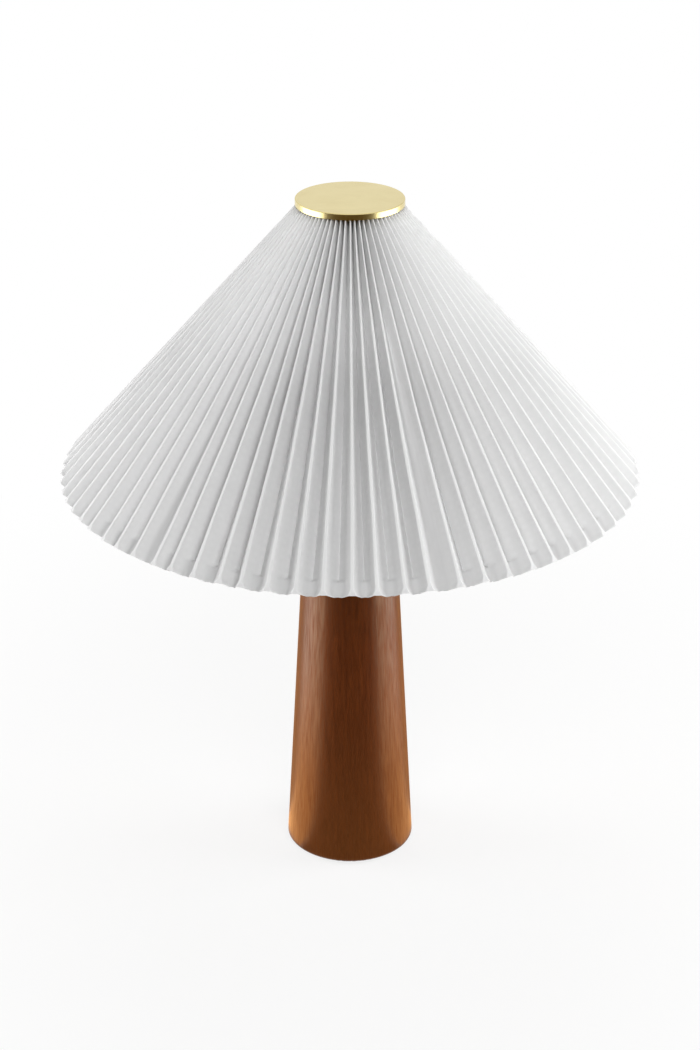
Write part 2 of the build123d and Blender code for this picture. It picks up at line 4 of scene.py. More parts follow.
import bpy
import mathutils
import numpy as np
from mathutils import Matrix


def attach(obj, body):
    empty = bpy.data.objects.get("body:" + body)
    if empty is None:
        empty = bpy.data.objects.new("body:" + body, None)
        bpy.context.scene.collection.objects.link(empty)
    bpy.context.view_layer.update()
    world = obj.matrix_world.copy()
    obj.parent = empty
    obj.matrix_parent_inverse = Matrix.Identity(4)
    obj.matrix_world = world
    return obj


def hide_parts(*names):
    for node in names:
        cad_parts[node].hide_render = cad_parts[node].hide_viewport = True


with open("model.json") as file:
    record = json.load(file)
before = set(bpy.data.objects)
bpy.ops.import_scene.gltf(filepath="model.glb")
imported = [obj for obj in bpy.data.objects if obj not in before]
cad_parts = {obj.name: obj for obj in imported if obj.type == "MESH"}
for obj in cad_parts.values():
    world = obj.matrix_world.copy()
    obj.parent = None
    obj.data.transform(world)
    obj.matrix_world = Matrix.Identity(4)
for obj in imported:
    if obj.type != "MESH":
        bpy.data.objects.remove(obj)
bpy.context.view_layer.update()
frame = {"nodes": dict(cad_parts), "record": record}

MM = 0.001
# Angle of the front, which looks towards -Y.
FRONT = -math.pi / 2

# Pleated cover, in millimetres. The fold lines run straight from the top hem to the rim: (radius, height).
PLEATS = 72
RIDGE_TOP = (32.9, 494.2)
RIDGE_RIM = (203.0, 300.2)
VALLEY_TOP = (25.8, 487.97)
VALLEY_RIM = (197.9, 295.75)
COVER_THICKNESS = 0.4
RIDGE_STRIP_TOP = 0.7
RIDGE_STRIP_RIM = 1.9
# How much wider the ridge's strip is at the rim, and how far above the rim that begins.
HEM_FLARE = 3.0
HEM_FLARE_REACH = 6.0
# How much less the cut edge hangs in the valleys, how far above the rim that begins, and by how much the
# folds differ in length.
HEM_TRIM = 0.7
HEM_TRIM_REACH = 5.0
HEM_RAGGED = 0.25
# How much deeper the lower valleys hang, and the shares of the slant between which that grows.
FOLD_DEEPER = 4.6
FOLD_DEEPER_FROM = (0.3, 0.5)
# Distances above the rim between which the flat floor before the lower ring begins, and that floor's edge
# as a share of the panel.
RING_CLEAR = (12.3, 10.8)
FLOOR_EDGE = 0.59
# Shares of a fold's depth: how far the flared strip sinks at the rim, and how far a panel bows.
HEM_SINK = 0.07
PANEL_BOW = 0.030

# Angles round the cover, in radians: how the folds' spacing drifts from front to back, how far each ridge and
# valley is off its place, where the struts are, and how near to one a valley gets its flat floor.
SPACING_DRIFT = 0.05
RIDGE_SCATTER = 0.0045
VALLEY_SCATTER = 0.003
FIRST_STRUT = math.radians(17.5)
STRUT_STEP = math.radians(60.0)
STRUT_CLEAR = (0.026, 0.043)

# Grid of the cover: even rows down to the hem, then rows at these distances above the rim. Half a fold has
# columns on the strip, counted in half strip widths from the ridge's middle, and at these shares of the
# panel.
BODY_ROWS = 22
HEM_HEIGHT = 16.0
HEM_ROWS = (14.0, *RING_CLEAR, 9.6, 5.0, 4.0, 3.0, 1.8, 0.9, 0.35, 0.0)
STRIP_COLUMNS = np.array([0.0, 0.6, 0.92, 1.08, 1.35])
PANEL_COLUMNS = np.array([0.07, 0.3, FLOOR_EDGE, 0.985, 1.0])

# Foot pad, in millimetres: its edge keeps a little inside the radius, and a small flat face closes each end.
PAD_RADIUS = 43.0
PAD_THICKNESS = 2.0
PAD_EDGE_ROOM = 0.35
PAD_END_RADIUS = 0.4
PAD_TURNS = 240

# Socket numbers of a colour mix, whose sockets share their names.
MIX_SHARE, MIX_FIRST, MIX_SECOND = 0, 6, 7
MIX_COLOUR = 2
# The wave texture runs through this many radians in each unit of its scale.
WAVE_RADIANS = 20

# Studio, with its lengths in metres.
LAMPS_AIM = (0.0, 0.0, 0.38)
FLOOR_RADIUS = 6.0
FLOOR_POINTS = 96
CARD_START = 0.05
CARD_HEIGHT = 0.001
CARD_POINTS = 31
WORLD_FILL = 0.02


def linear(code):
    """Linear colour of an sRGB hex code, with full alpha."""
    parts = np.array([int(code[i : i + 2], 16) for i in (1, 3, 5)]) / 255
    low = parts / 12.92
    high = ((parts + 0.055) / 1.055) ** 2.4
    return (*np.where(parts <= 0.04045, low, high).tolist(), 1.0)


def add(tree, kind, inputs=(), **settings):
    """Adds one node: settings are its own properties, and inputs its sockets by name or number, each of them
    a fixed value or another node's output, which is linked."""
    new = tree.nodes.new(kind)
    for key, value in settings.items():
        setattr(new, key, value)
    for key, value in dict(inputs).items():
        if isinstance(value, bpy.types.NodeSocket):
            tree.links.new(value, new.inputs[key])
        else:
            new.inputs[key].default_value = value
    return new


def blank_material(name):
    """A new material and its node tree, still empty."""
    made = bpy.data.materials.new(name)
    made.use_nodes = True
    made.node_tree.nodes.clear()
    return made, made.node_tree


def directly_seen(tree):
    """1 for what the camera sees, also in a mirror or through glass, and 0 for what lights a matt surface."""
    path = add(tree, "ShaderNodeLightPath").outputs
    seen = path["Is Camera Ray"]
    for other in ("Is Glossy Ray", "Is Transmission Ray"):
        seen = add(tree, "ShaderNodeMath", {0: seen, 1: path[other]}, operation="MAXIMUM").outputs[0]
    return seen


def smooth_mesh(name, points, faces, uv=None, marks=()):
    """An object at the origin from points in metres and lists of corners, smooth shaded, with an optional UV
    and named values per point."""
    mesh = bpy.data.meshes.new(name)
    mesh.from_pydata(points.tolist(), [], faces)
    mesh.polygons.foreach_set("use_smooth", np.ones(len(faces), bool))
    if uv is not None:
        layer = mesh.uv_layers.new(name="cloth")
        corners = np.empty(len(mesh.loops), np.int32)
        mesh.loops.foreach_get("vertex_index", corners)
        layer.data.foreach_set("uv", uv[corners].astype(np.float32).ravel())
    for mark, values in dict(marks).items():
        attribute = mesh.attributes.new(mark, "FLOAT", "POINT")
        attribute.data.foreach_set("value", values.astype(np.float32))
    mesh.validate()
    made = bpy.data.objects.new(name, mesh)
    bpy.context.scene.collection.objects.link(made)
    return made


def grid_faces(rows, columns, closed=True):
    """Quads between neighbouring points of a grid with that many rows and columns; closed joins the last
    column to the first."""
    across = np.arange(columns if closed else columns - 1)
    row = np.arange(rows - 1)[:, None] * columns
    left = row + across
    right = row + (across + 1) % columns
    return np.stack([left, right, right + columns, left + columns], -1).reshape(-1, 4)


def step(low, high, x):
    """Smooth step from 0 at low to 1 at high."""
    t = np.clip((x - low) / (high - low), 0, 1)
    return t * t * (3 - 2 * t)


def closed_sheet(outer, thickness):
    """Points and quads of a closed sheet from the grid of its outer face, whose columns go all the way round.
    The inner face is the outer one moved along its normals by the thickness, and a strip of quads closes each
    hem."""
    rows, columns = outer.shape[:2]
    ahead = np.roll(outer, -1, 1) - np.roll(outer, 1, 1)
    below = np.gradient(outer, axis=0)
    normal = np.cross(below, ahead)
    normal /= np.linalg.norm(normal, axis=-1, keepdims=True)
    inner = outer - normal * thickness

    count = rows * columns
    skin = grid_faces(rows, columns)
    here = np.arange(columns)
    beside = (here + 1) % columns
    top_hem = np.stack([here, beside, beside + count, here + count], -1)
    low_hem = top_hem[:, ::-1] + count - columns
    points = np.concatenate([outer.reshape(-1, 3), inner.reshape(-1, 3)])
    return points, np.concatenate([skin[:, ::-1], skin + count, top_hem, low_hem])


def cloth_map(outer, down):
    """UV of each point of the cover's outer face, and the cloth's width. The width is the mean length of the
    rows down the slant. U adds up the steps along the middle row, as a share of that row, and V is the
    distance down the slant, as a share of the width."""
    steps = np.linalg.norm(np.roll(outer, -1, 1) - outer, axis=-1)
    lengths = steps.sum(1)
    width = ((lengths[1:] + lengths[:-1]) / 2 * np.diff(down)).sum() / down[-1]
    flat = steps[len(down) // 2]
    u = np.broadcast_to((np.cumsum(flat) - flat) / flat.sum(), steps.shape)
    v = np.broadcast_to(down[:, None] / width, steps.shape)
    return np.stack([u, v], -1).reshape(-1, 2), width


def pleated_cover():
    """The folded cover as a closed sheet: its object, the cloth's width and its length down the slant.

    A point is given by its place across a fold (0 on the ridge's middle, 1 in the valley) and its distance
    down the slant. The ridge and valley lines are straight lines in (radius, height). Across a fold the cover
    runs flat along the ridge's strip, then straight down the panel to the valley. In the lower half the
    valleys hang deeper, square to the cone; where a strut or the lower ring lies behind a valley, a flat
    floor passes in front of the wire instead. Near the rim the strip flares out and sinks a little, as a
    sealed hem does. Each fold has its own small wander and bow, from sines with seeded phases, and its own
    seeded length."""
    draw = np.random.RandomState(11)
    top = np.array(RIDGE_TOP)
    rim = np.array(RIDGE_RIM)
    slant = math.hypot(*(rim - top))
    body_rows = np.linspace(0, slant - HEM_HEIGHT, BODY_ROWS)
    down = np.concatenate([body_rows, slant - np.array(HEM_ROWS)])[:, None, None]
    share = down / slant
    above_rim = slant - down

    # Angles of the ridges' middles, of the valley after each ridge and of the one before it.
    fold = np.arange(PLEATS)[None, :, None]
    turn = 2 * np.pi * fold / PLEATS
    middle = turn + SPACING_DRIFT * (1 - np.cos(turn)) + draw.normal(0, RIDGE_SCATTER, (1, PLEATS, 1))
    valley = (middle + np.roll(middle, -1, 1) + np.where(fold == PLEATS - 1, 2 * np.pi, 0)) / 2
    valley += draw.normal(0, VALLEY_SCATTER, (1, PLEATS, 1))
    before = np.roll(valley, 1, 1) - np.where(fold == 0, 2 * np.pi, 0)
    to_strut = np.abs((valley - FIRST_STRUT + STRUT_STEP / 2) % STRUT_STEP - STRUT_STEP / 2)
    free = step(*STRUT_CLEAR, to_strut)

    # Each ridge wanders sideways by up to a quarter of a millimetre, most at the rim.
    phase = draw.uniform(0, 2 * np.pi, (4, 1, PLEATS, 1))
    wander = 0.16 * np.sin(share * 9 + phase[0]) + 0.10 * np.sin(share * 23 + phase[1])
    ridge_radius = RIDGE_TOP[0] + (RIDGE_RIM[0] - RIDGE_TOP[0]) * share
    middle = middle + wander * share / ridge_radius

    # The strip's width wavers by a tenth, and flares at the rim.
    flare = step(HEM_FLARE_REACH, 0.0, above_rim)
    strip = RIDGE_STRIP_TOP + (RIDGE_STRIP_RIM - RIDGE_STRIP_TOP) * share
    strip = strip * (1 + 0.10 * np.sin(share * 14 + phase[2])) + HEM_FLARE * flare**2

    # Directions in (radius, height): down the slant, square to it, and from ridge to valley.
    along = (rim - top) / slant
    inward = np.array([along[1], -along[0]])
    deep_top = np.array(VALLEY_TOP) - top
    deep_rim = np.array(VALLEY_RIM) - rim
    deep = deep_top + (deep_rim - deep_top) * share[..., None]
    depth = np.linalg.norm(deep, axis=-1)
    # Where the valleys hang deeper, and where the lower ring lies behind them.
    slack = step(*FOLD_DEEPER_FROM, share)
    over_ring = step(*RING_CLEAR, above_rim)

    sides = []
    for edge, loose, sign in ((before, np.roll(free, 1, 1), -1), (valley, free, 1)):
        # The strip's half width as a share of the way to the valley, within bounds.
        reach = np.abs(edge - middle)
        shoulder = np.clip(strip / 2 / (reach * ridge_radius), 0.02, 0.62)
        near = STRIP_COLUMNS * shoulder
        across = np.concatenate([near, near[..., -1:] + (1 - near[..., -1:]) * PANEL_COLUMNS], -1)
        # How far a point is from ridge to valley, with the strip's shoulders a little rounded.
        slope = (across - shoulder) / (1 - shoulder)
        soft = 0.08 * shoulder / (1 - shoulder)
        fall = np.clip((np.sqrt(slope**2 + soft**2) + slope) / 2, 0, 1)
        sink = HEM_SINK * flare**2 * (1 - across) ** 2
        wave = np.sin(share * 5 + phase[3] + sign) * np.sin(np.pi * across)
        fall = np.clip(fall + sink + PANEL_BOW * wave * step(0.1, 0.5, share), 0, 1)
        # In front of a wire no point goes deeper than the plain valley.
        wire = np.maximum(1 - loose, over_ring)
        deeper = FOLD_DEEPER * slack * fall
        deeper = deeper - wire * np.maximum(deeper - depth * (1 - fall), 0)
        # Painted shadow of the wire: the flat floor in front of it is drawn darker on the cloth.
        painted_wire_shade = wire * slack * step(0.45, 0.65, fall)
        # The strip is drawn paler: a painted highlight, partly the whitening of a set crease.
        # At the rim a small half-moon, where the strip splits in two, stays darker: a painted shadow.
        moon = step(3.2, 0.6, above_rim) * step(0.75, 0.45, across / shoulder)
        pale = step(1.25, 0.95, across / shoulder) * (1 - 0.8 * moon)
        sides.append((middle + sign * across * reach, fall, deeper, painted_wire_shade, pale))
    angle, fall, deeper, painted_wire_shade, pale = (
        np.concatenate([left[..., :0:-1], right[..., :-1]], -1) for left, right in zip(*sides)
    )

    ragged = draw.normal(0, HEM_RAGGED, (1, PLEATS, 1)) * step(0.9, 1.0, share)
    trim = HEM_TRIM * fall * step(HEM_TRIM_REACH, 0.0, above_rim)
    place = top + along * (down + np.minimum(ragged, 0) - trim)[..., None] + deep * fall[..., None]
    place = place + inward * deeper[..., None]
    radius, height = place[..., 0], place[..., 1]
    outer = np.stack([radius * np.cos(FRONT + angle), radius * np.sin(FRONT + angle), height], -1)
    outer = outer.reshape(len(down), -1, 3)
    points, faces = closed_sheet(outer, COVER_THICKNESS)
    uv, width = cloth_map(outer, down.ravel())

    # The cover is also drawn paler towards the top, as painted light on the upper folds, and along its cut
    # edge, as a painted highlight.
    painted_top_light = 0.9 * step(0.6, 0.1, share)
    hem = step(1.0, 0.4, above_rim)
    crease_and_painted_light = np.maximum(pale, np.maximum(painted_top_light, hem))
    marks = {"crease_and_painted_light": np.tile(crease_and_painted_light.ravel(), 2), "painted_wire_shade": np.tile(painted_wire_shade.ravel(), 2)}
    made = smooth_mesh("pleated_cover", points * MM, faces.tolist(), np.tile(uv, (2, 1)), marks)
    return made, width * MM, slant * MM


def felt_pad():
    """A felt disc: a profile of (radius, height) with a soft edge, turned about the axis, and a flat face at
    each end. The edge's radius wavers by up to a quarter of a millimetre, as cut felt does."""
    angle = np.arange(PAD_TURNS) * 2 * np.pi / PAD_TURNS
    edge = PAD_RADIUS - PAD_EDGE_ROOM
    lower = [(PAD_END_RADIUS, 0.0), (edge * 0.5, 0.0), (edge - 1.0, 0.0), (edge - 0.3, 0.12), (edge, 0.5)]
    upper = [(edge + 0.1, 1.0), (edge, 1.5), (edge - 0.25, 1.85)]
    lid = [(radius, PAD_THICKNESS) for radius in (edge - 0.8, edge * 0.5, PAD_END_RADIUS)]
    profile = np.array(lower + upper + lid)
    waver = 0.10 * np.sin(angle * 41) + 0.08 * np.sin(angle * 67 + 1.3) + 0.06 * np.sin(angle * 103 + 0.4)
    radius = profile[:, :1] + waver * (profile[:, :1] > edge - 0.5)
    height = np.broadcast_to(profile[:, 1:], radius.shape)
    points = np.stack([radius * np.cos(angle), radius * np.sin(angle), height], -1).reshape(-1, 3)
    corners = np.arange(len(points))
    ends = [corners[:PAD_TURNS][::-1].tolist(), corners[-PAD_TURNS:].tolist()]
    return smooth_mesh("felt_pad", points * MM, grid_faces(len(profile), PAD_TURNS).tolist() + ends)


# Walnut-stained hardwood, turned and lacquered: fine upright grain, short dark pores, a satin shine.
def walnut():
    made, tree = blank_material("walnut_satin_lacquer")
    place = add(tree, "ShaderNodeTexCoord").outputs["Object"]
    # Growth rings 4.8 mm apart, the tone rising over 2.4 mm and falling back, round a heart that lies 130 mm
    # beside the turning. They sway by about a centimetre.
    heart = add(tree, "ShaderNodeMapping", {
        "Vector": place, "Location": (0.11, 0.07, 0.0), "Rotation": (0.012, 0.02, 0),
    })
    flat = add(tree, "ShaderNodeVectorMath", {0: heart.outputs[0], 1: (1, 1, 0)}, operation="MULTIPLY")
    far = add(tree, "ShaderNodeVectorMath", {0: flat.outputs[0]}, operation="LENGTH").outputs["Value"]
    stretch = add(tree, "ShaderNodeMapping", {"Vector": place, "Scale": (26, 26, 3.2)}).outputs[0]
    sway = add(tree, "ShaderNodeTexNoise", {"Vector": stretch, "Scale": 1.0, "Detail": 2.0})
    ring = add(tree, "ShaderNodeMath", {0: sway.outputs[0], 1: 0.012, 2: far}, operation="MULTIPLY_ADD")
    ring = add(tree, "ShaderNodeMath", {0: ring.outputs[0], 1: 1 / 0.0024}, operation="MULTIPLY")
    ring = add(tree, "ShaderNodeMath", {0: ring.outputs[0], 1: 1.0}, operation="PINGPONG").outputs[0]
    # Fibres 1 mm wide and 70 mm long, which is as fine as the render shows.
    stretch = add(tree, "ShaderNodeMapping", {"Vector": place, "Scale": (1000, 1000, 14)}).outputs[0]
    fibre = add(tree, "ShaderNodeTexNoise", {
        "Vector": stretch, "Scale": 1.0, "Detail": 3.0, "Roughness": 0.6,
    }).outputs[0]
    # Pores 0.5 mm wide and 9 mm long.
    stretch = add(tree, "ShaderNodeMapping", {"Vector": place, "Scale": (2000, 2000, 110)}).outputs[0]
    speck = add(tree, "ShaderNodeTexNoise", {"Vector": stretch, "Scale": 1.0, "Detail": 1.0}).outputs[0]
    pore = add(tree, "ShaderNodeMapRange", {"Value": speck, "From Min": 0.60, "From Max": 0.74}).outputs[0]
    # Cloudy drift of the stain, about 40 mm across and 150 mm along.
    stretch = add(tree, "ShaderNodeMapping", {
        "Vector": place, "Scale": (26, 26, 6.5), "Location": (3, 1, 4),
    }).outputs[0]
    drift = add(tree, "ShaderNodeTexNoise", {"Vector": stretch, "Scale": 1.0, "Detail": 3.0}).outputs[0]
    tone = 0.04
    for pattern, weight in ((ring, 0.08), (fibre, 0.80), (drift, 0.75)):
        inputs = {0: pattern, 1: weight, 2: tone}
        tone = add(tree, "ShaderNodeMath", inputs, operation="MULTIPLY_ADD").outputs[0]
    tone = add(tree, "ShaderNodeMapRange", {"Value": tone, "From Min": 0.68, "From Max": 1.04}).outputs[0]
    # Towards the foot the colour turns more golden: painted light. The stain is dark in the pores.
    height = add(tree, "ShaderNodeSeparateXYZ", {0: place}).outputs["Z"]
    low = add(tree, "ShaderNodeMapRange", {
        "Value": height, "From Min": 0.17, "From Max": 0.0, "To Min": 0.0, "To Max": 0.7,
    }).outputs[0]
    filled = add(tree, "ShaderNodeMath", {0: pore, 1: 0.22}, operation="MULTIPLY").outputs[0]
    colour = linear("#4e1c05")
    for share, code in ((tone, "#682f0b"), (low, "#663814"), (filled, "#2a1006")):
        inputs = {MIX_SHARE: share, MIX_FIRST: colour, MIX_SECOND: linear(code)}
        colour = add(tree, "ShaderNodeMix", inputs, data_type="RGBA").outputs[MIX_COLOUR]
    gloss = add(tree, "ShaderNodeMapRange", {
        "Value": fibre, "From Min": 0.3, "From Max": 0.7, "To Min": 0.28, "To Max": 0.44,
    })
    shine = add(tree, "ShaderNodeMapRange", {
        "Value": fibre, "From Min": 0.34, "From Max": 0.66, "To Min": 0.85, "To Max": 0.3,
    })
    relief = add(tree, "ShaderNodeMath", {0: pore, 1: -0.7, 2: fibre}, operation="MULTIPLY_ADD")
    bump = add(tree, "ShaderNodeBump", {"Height": relief.outputs[0], "Strength": 0.2, "Distance": 0.0001})
    shader = add(tree, "ShaderNodeBsdfPrincipled", {
        "Base Color": colour,
        "Roughness": gloss.outputs[0],
        "Specular IOR Level": shine.outputs[0],
        "Specular Tint": linear("#ffd6a8"),
        "Normal": bump.outputs[0],
    })
    add(tree, "ShaderNodeOutputMaterial", {"Surface": shader.outputs[0]})
    return made


# Pale brass sheet with a satin lacquer: spun rings on the caps, faint long scratches on rods and shells.
def brass(name, spun):
    made, tree = blank_material(name)
    place = add(tree, "ShaderNodeTexCoord").outputs["Object"]
    if spun:
        # Turning marks 0.35 mm apart round the axis, which is as fine as the render shows.
        flat = add(tree, "ShaderNodeVectorMath", {0: place, 1: (1, 1, 0)}, operation="MULTIPLY")
        far = add(tree, "ShaderNodeVectorMath", {0: flat.outputs[0]}, operation="LENGTH")
        line = add(tree, "ShaderNodeCombineXYZ", {0: far.outputs["Value"]})
        mark = add(tree, "ShaderNodeTexNoise", {"Vector": line.outputs[0], "Scale": 2800.0, "Detail": 2.0})
    else:
        # Scratches 0.6 mm wide and 17 mm long.
        stretch = add(tree, "ShaderNodeMapping", {"Vector": place, "Scale": (1800, 1800, 60)}).outputs[0]
        mark = add(tree, "ShaderNodeTexNoise", {"Vector": stretch, "Scale": 1.0, "Detail": 2.0})
    # Clouds in the lacquer, 17 mm across.
    cloud = add(tree, "ShaderNodeTexNoise", {"Vector": place, "Scale": 60.0, "Detail": 2.0})
    tones = {MIX_SHARE: cloud.outputs[0], MIX_FIRST: linear("#d8c78a"), MIX_SECOND: linear("#e3d49b")}
    colour = add(tree, "ShaderNodeMix", tones, data_type="RGBA")
    gloss = add(tree, "ShaderNodeMapRange", {
        "Value": mark.outputs[0], "From Min": 0.3, "From Max": 0.7, "To Min": 0.2, "To Max": 0.28,
    })
    bump = add(tree, "ShaderNodeBump", {"Height": mark.outputs[0], "Strength": 0.12, "Distance": 0.00004})
    shader = add(tree, "ShaderNodeBsdfPrincipled", {
        "Base Color": colour.outputs[MIX_COLOUR],
        "Metallic": 1.0,
        "Roughness": gloss.outputs[0],
        "Normal": bump.outputs[0],
    })
    add(tree, "ShaderNodeOutputMaterial", {"Surface": shader.outputs[0]})
    return made


# White cloth laminated to a stiff film, heat-set in folds: matt, with a fine even weave.
def shade_cloth(width):
    made, tree = blank_material("shade_cloth_laminate")
    flat = add(tree, "ShaderNodeUVMap", uv_map="cloth").outputs[0]
    # The weave is too fine to show in the render. Faint bands each way stand for it: their wave runs through
    # a radian in 0.8 mm, so they lie about 5 mm apart.
    bands = {"Vector": flat, "Scale": width / 0.0008 / WAVE_RADIANS, "Distortion": 0.6, "Detail": 1.0}
    warp = add(tree, "ShaderNodeTexWave", bands).outputs[1]
    weft = add(tree, "ShaderNodeTexWave", bands, bands_direction="Y").outputs[1]
    weave = add(tree, "ShaderNodeMath", {0: warp, 1: weft}, operation="MULTIPLY").outputs[0]
    # Thicker threads 4 mm wide and 12 mm long.
    stretch = add(tree, "ShaderNodeMapping", {
        "Vector": flat, "Scale": (width / 0.004, width / 0.012, 1),
    }).outputs[0]
    slub = add(tree, "ShaderNodeTexNoise", {"Vector": stretch, "Scale": 1.0, "Detail": 3.0}).outputs[0]
    tone = add(tree, "ShaderNodeMath", {0: weave, 1: 0.35, 2: slub}, operation="MULTIPLY_ADD").outputs[0]
    tone = add(tree, "ShaderNodeMapRange", {"Value": tone, "From Min": 0.35, "From Max": 0.95}).outputs[0]
    # The ridge strips, the upper folds and the cut edge are drawn paler: painted light, on the ridges
    # partly the film's whitening where it is creased. In front of a wire the cloth is drawn a little darker:
    # a painted shadow of the wire.
    crease_and_painted_light = add(tree, "ShaderNodeAttribute", attribute_name="crease_and_painted_light").outputs["Fac"]
    painted_wire_shade = add(tree, "ShaderNodeAttribute", attribute_name="painted_wire_shade").outputs["Fac"]
    colour = linear("#dedede")
    for share, code in ((tone, "#e2e2e2"), (crease_and_painted_light, "#e9e9e9"), (painted_wire_shade, "#d3d3d3")):
        inputs = {MIX_SHARE: share, MIX_FIRST: colour, MIX_SECOND: linear(code)}
        colour = add(tree, "ShaderNodeMix", inputs, data_type="RGBA").outputs[MIX_COLOUR]
    bump = add(tree, "ShaderNodeBump", {"Height": tone, "Strength": 0.12, "Distance": 0.00005})
    shader = add(tree, "ShaderNodeBsdfPrincipled", {
        "Base Color": colour, "Roughness": 0.88, "Specular IOR Level": 0.25, "Normal": bump.outputs[0],
    })
    add(tree, "ShaderNodeOutputMaterial", {"Surface": shader.outputs[0]})
    return made


# A plain finish whose colour wavers between two tones in grains of one size: felt, iron, plastics, coatings.
def grained(name, dark, light, grain, stretch, rough, metallic=0.0, relief=0.00003, strength=0.2):
    made, tree = blank_material(name)
    place = add(tree, "ShaderNodeTexCoord").outputs["Object"]
    scale = tuple(1 / (grain * s) for s in stretch)
    spread = add(tree, "ShaderNodeMapping", {"Vector": place, "Scale": scale})
    noise = add(tree, "ShaderNodeTexNoise", {
        "Vector": spread.outputs[0], "Scale": 1.0, "Detail": 3.0, "Roughness": 0.6,
    }).outputs[0]
    tone = add(tree, "ShaderNodeMapRange", {"Value": noise, "From Min": 0.3, "From Max": 0.7})
    tones = {MIX_SHARE: tone.outputs[0], MIX_FIRST: linear(dark), MIX_SECOND: linear(light)}
    colour = add(tree, "ShaderNodeMix", tones, data_type="RGBA")
    gloss = add(tree, "ShaderNodeMapRange", {
        "Value": noise, "From Min": 0.3, "From Max": 0.7, "To Min": rough * 0.85, "To Max": rough * 1.1,
    })
    bump = add(tree, "ShaderNodeBump", {"Height": noise, "Strength": strength, "Distance": relief})
    shader = add(tree, "ShaderNodeBsdfPrincipled", {
        "Base Color": colour.outputs[MIX_COLOUR],
        "Metallic": metallic,
        "Roughness": gloss.outputs[0],
        "Normal": bump.outputs[0],
    })
    add(tree, "ShaderNodeOutputMaterial", {"Surface": shader.outputs[0]})
    return made


cover, cover_width, cover_slant = pleated_cover()
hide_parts("pleated_shade")
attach(cover, "shade")
cover.data.materials.append(shade_cloth(cover_width))

pad = felt_pad()
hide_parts("foot_pad")
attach(pad, "base")
# Dark wool felt: dull, with short tufts.
pad.data.materials.append(grained("felt_dark", "#120d0b", "#2a211d", 0.0006, (1, 1, 1), 0.95, strength=0.6))

# Grain sizes are in metres, with how many times longer a grain is along X, Y and Z.
finishes = {
    "walnut": walnut(),
    "brass": brass("brass_satin_drawn", False),
    # Powder-coated wire: warm white, low shine.
    "white_steel": grained("wire_white_coated", "#dededa", "#ebebe8", 0.0012, (1, 1, 1), 0.45),
    # Painted sheet steel: black, half matt.
    "black_steel": grained("sheet_black_coated", "#121212", "#1d1d1c", 0.0010, (1, 1, 1), 0.5),
    # Zinc-plated steel: cool grey, drawn upwards.
    "zinc_steel": grained("steel_zinc_plated", "#a2a5a8", "#bcbfc2", 0.0008, (1, 1, 12), 0.35, metallic=1.0),
    # Sand-cast iron: nearly black, rough to the touch.
    "cast_iron": grained("iron_as_cast", "#201f1f", "#33312f", 0.0015, (1, 1, 1), 0.75, strength=0.5),
    # Moulded brown plastic: an even, soft shine.
    "brown_plastic": grained("plastic_brown_moulded", "#21120a", "#2f1b10", 0.0008, (1, 1, 1), 0.42),
    # Moulded phenolic: black and a little glossier.
    "phenolic": grained("phenolic_black_moulded", "#0d0d0d", "#191818", 0.0007, (1, 1, 1), 0.32),
    # Pressed fibre card: tan and dull, its fibres lying level.
    "card": grained("fibre_card", "#8e7352", "#a88b66", 0.0010, (3, 3, 1), 0.9),
    # Rolled aluminium: bright, its marks lying level.
    "bulb_metal": grained("aluminium_rolled", "#c2c3c4", "#d6d7d8", 0.0007, (6, 6, 1), 0.28, metallic=1.0),
    # Black insulator glass: nearly smooth.
    "bulb_glass": grained("insulator_black_glass", "#08080a", "#131316", 0.0010, (1, 1, 1), 0.12),
    # Frosted white diffuser: milky, half matt.
    "bulb_plastic": grained("diffuser_frosted_white", "#ecece8", "#f4f4f1", 0.0009, (1, 1, 1), 0.5),
}
spun = brass("brass_satin_spun", True)
slots = {entry["node"]: entry["material_slot"] for entry in frame["record"]["subparts"]}
for name, piece in frame["nodes"].items():
    if name in ("pleated_shade", "foot_pad"):
        continue
    finish = spun if name in ("brass_cap", "neck_cap") else finishes[slots[name]]
    piece.data.materials.clear()
    piece.data.materials.append(finish)

scene = bpy.context.scene
scene.view_settings.view_transform = "Standard"

# Camera at the photograph's place: 2.29 times the frame's height in focal length, 25 degrees down.
lens = bpy.data.cameras.new("camera")
lens.sensor_fit = "VERTICAL"
lens.sensor_height = 36.0
lens.lens = 82.46
camera = bpy.data.objects.new("camera", lens)
camera.location = (0.0, -1.549, 0.976)
camera.rotation_euler = (math.radians(65.027), 0.0, 0.0)
scene.collection.objects.link(camera)
scene.camera = camera

# Large soft lamps: one on each side, one above the camera and a little to the right, and one high behind.
# Each looks at the shade.
for name, place, size, radiance in (
    ("lamp_left", (-1.1, 0.12, 0.65), (0.8, 1.0), 3.9),
    ("lamp_right", (1.1, 0.08, 0.7), (0.8, 1.0), 4.4),
    ("lamp_front", (0.2, -1.7, 1.4), (1.6, 1.2), 4.5),
    ("lamp_back", (0.0, 1.35, 2.05), (1.4, 0.9), 4.5),
):
    lamp = bpy.data.lights.new(name, "AREA")
    lamp.shape = "RECTANGLE"
    lamp.size, lamp.size_y = size
    lamp.energy = radiance * math.pi * size[0] * size[1]
    holder = bpy.data.objects.new(name, lamp)
    holder.location = place
    backwards = mathutils.Vector(place) - mathutils.Vector(LAMPS_AIM)
    holder.rotation_euler = backwards.to_track_quat("Z", "Y").to_euler()
    # Lamps aren't mirrored: the white studio and the cards shape the reflections.
    holder.visible_glossy = False
    scene.collection.objects.link(holder)

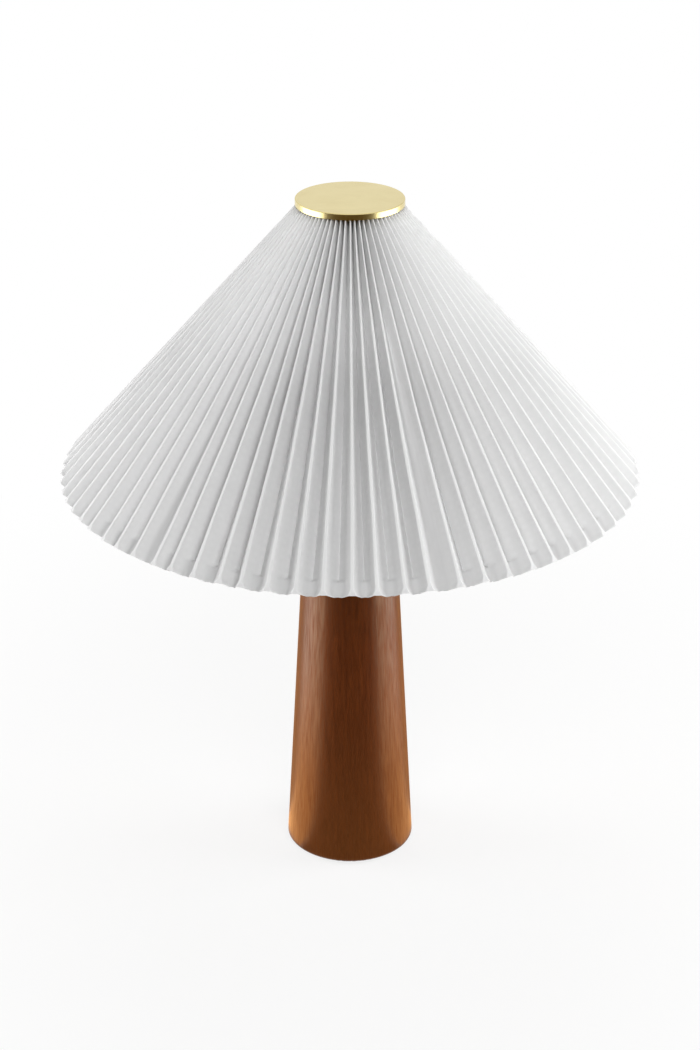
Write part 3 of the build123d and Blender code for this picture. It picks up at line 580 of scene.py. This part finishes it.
# Floor: pale and matt near the lamp, going over to plain white further out; the shadow stays.
floor_turn = np.arange(FLOOR_POINTS) * 2 * np.pi / FLOOR_POINTS
floor_edge = np.stack([np.cos(floor_turn), np.sin(floor_turn), np.zeros(FLOOR_POINTS)], -1) * FLOOR_RADIUS
floor = smooth_mesh("floor", floor_edge, [list(range(FLOOR_POINTS))])
floor_look, tree = blank_material("floor_matt_white")
place = add(tree, "ShaderNodeTexCoord").outputs["Object"]
far = add(tree, "ShaderNodeVectorMath", {0: place}, operation="LENGTH").outputs["Value"]
fade = add(
    tree, "ShaderNodeMapRange",
    {"Value": far, "From Min": 0.15, "From Max": 0.7, "To Min": 0.78, "To Max": 1.0},
    interpolation_type="SMOOTHSTEP",
)
seen = add(tree, "ShaderNodeMath", {0: directly_seen(tree), 1: fade.outputs[0]}, operation="MULTIPLY")
matt = add(tree, "ShaderNodeBsdfPrincipled", {
    "Base Color": linear("#eaeae9"), "Roughness": 0.9, "Specular IOR Level": 0.1,
})
white = add(tree, "ShaderNodeEmission", {"Color": linear("#ffffff"), "Strength": 1.0})
blend = add(tree, "ShaderNodeMixShader", {0: seen.outputs[0], 1: matt.outputs[0], 2: white.outputs[0]})
add(tree, "ShaderNodeOutputMaterial", {"Surface": blend.outputs[0]})
floor.data.materials.append(floor_look)

# Cards that only reflections meet, lying round the foot and standing round the part: a dark one in front, as
# in a studio with an unlit camera side, a bright one on each side under its lamp, and a dim one behind. Each
# has its first and last angle from the front in degrees, its reach and its wall's height in metres, its
# strength and its colour.
for name, first, last, length, wall, strength, glow in (
    ("card_dark", -56, 56, 1.1, 0.75, 1.0, "#544016"),
    ("card_bright_left", -114, -60, 1.1, 0.45, 4.1, None),
    ("card_bright_right", 60, 114, 1.1, 0.45, 3.1, None),
    ("card_back", 116, 244, 0.6, 0.01, 1.7, "#b98a5a"),
):
    away = np.radians(np.linspace(first, last, CARD_POINTS))
    reach = np.array([CARD_START, length, length])[:, None]
    rise = np.broadcast_to(np.array([CARD_HEIGHT, CARD_HEIGHT, wall])[:, None], (3, CARD_POINTS))
    points = np.stack([reach * np.sin(away), -reach * np.cos(away), rise], -1).reshape(-1, 3)
    card = smooth_mesh(name, points, grid_faces(3, CARD_POINTS, closed=False).tolist())
    card.visible_camera = False
    card.visible_diffuse = False
    card.visible_shadow = False
    look, tree = blank_material(name)
    if glow:
        colour, power = linear(glow), strength
    else:
        # Warm near the foot and white further out, where both bright cards end equally strong.
        place = add(tree, "ShaderNodeTexCoord").outputs["Object"]
        far = add(tree, "ShaderNodeVectorMath", {0: place}, operation="LENGTH").outputs["Value"]
        pale = add(tree, "ShaderNodeMapRange", {"Value": far, "From Min": 0.18, "From Max": 0.5})
        tones = {MIX_SHARE: pale.outputs[0], MIX_FIRST: linear("#dca66e"), MIX_SECOND: linear("#ffffff")}
        colour = add(tree, "ShaderNodeMix", tones, data_type="RGBA").outputs[MIX_COLOUR]
        power = add(tree, "ShaderNodeMapRange", {
            "Value": far, "From Min": 0.5, "From Max": 0.9, "To Min": strength, "To Max": 4.2,
        }).outputs[0]
    shader = add(tree, "ShaderNodeBsdfPrincipled", {
        "Base Color": linear("#000000"),
        "Specular IOR Level": 0.0,
        "Emission Color": colour,
        "Emission Strength": power,
    })
    add(tree, "ShaderNodeOutputMaterial", {"Surface": shader.outputs[0]})
    card.data.materials.append(look)

# World: white where it is seen or mirrored, a low even fill for the rest.
world = bpy.data.worlds.new("studio")
scene.world = world
world.use_nodes = True
tree = world.node_tree
tree.nodes.clear()
level = add(tree, "ShaderNodeMapRange", {"Value": directly_seen(tree), "To Min": WORLD_FILL, "To Max": 1.0})
sky = add(tree, "ShaderNodeBackground", {"Color": linear("#ffffff"), "Strength": level.outputs[0]})
add(tree, "ShaderNodeOutputWorld", {"Surface": sky.outputs[0]})
